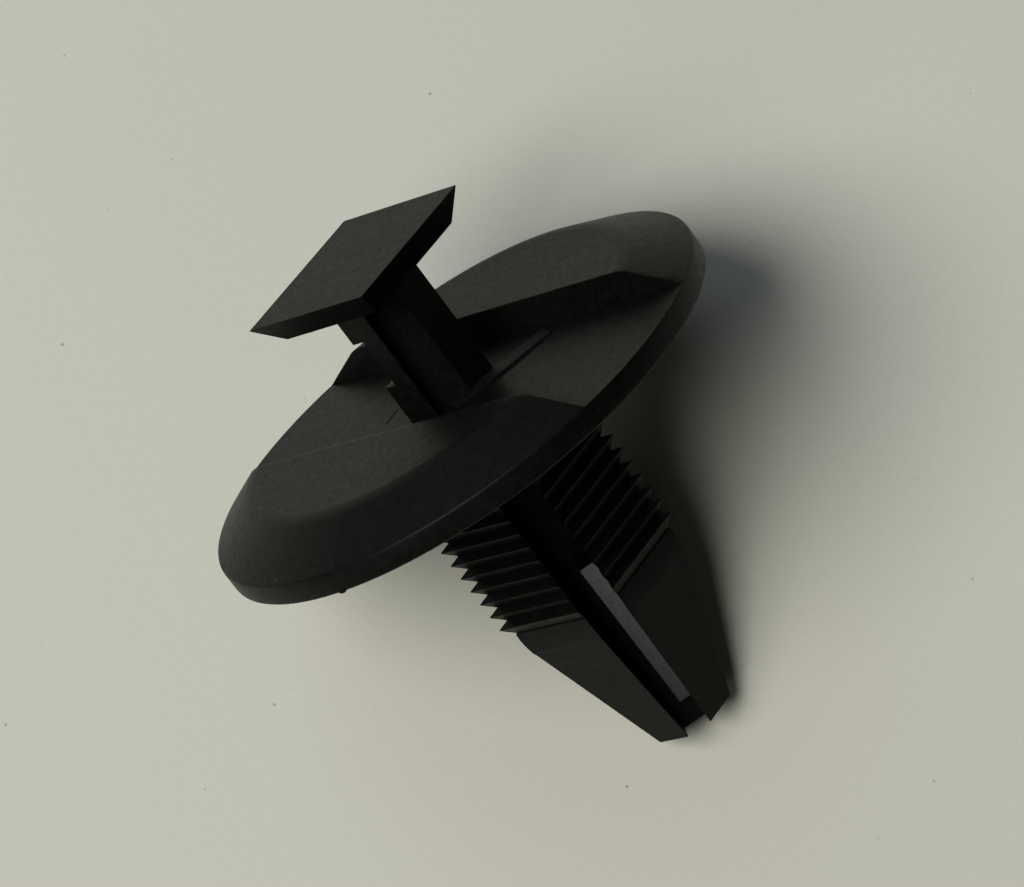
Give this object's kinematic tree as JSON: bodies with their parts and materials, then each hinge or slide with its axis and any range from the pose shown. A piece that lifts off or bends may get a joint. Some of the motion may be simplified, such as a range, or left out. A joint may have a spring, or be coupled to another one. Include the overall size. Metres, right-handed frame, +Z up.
{
  "type": "retaining clip",
  "caption": "One-piece moulded clip: a square head on a square neck, a round flange with a channel across it, and a square barbed shank that is split by grooves and tapers to two tips.",
  "frame": {"origin": "middle of the bounding box on the surface that the clip lies on", "axes": "+Z up; +X level, from the tips towards the head; +Y level, across the clip. The clip's axis rises 32.2 degrees from +X towards +Z."},
  "size_m": [0.0272, 0.0262, 0.0228],
  "materials": {
    "nylon": "satin moulded, black"
  },
  "bodies": {
    "root": {"retaining_clip": "nylon"}
  },
  "joints": []
}
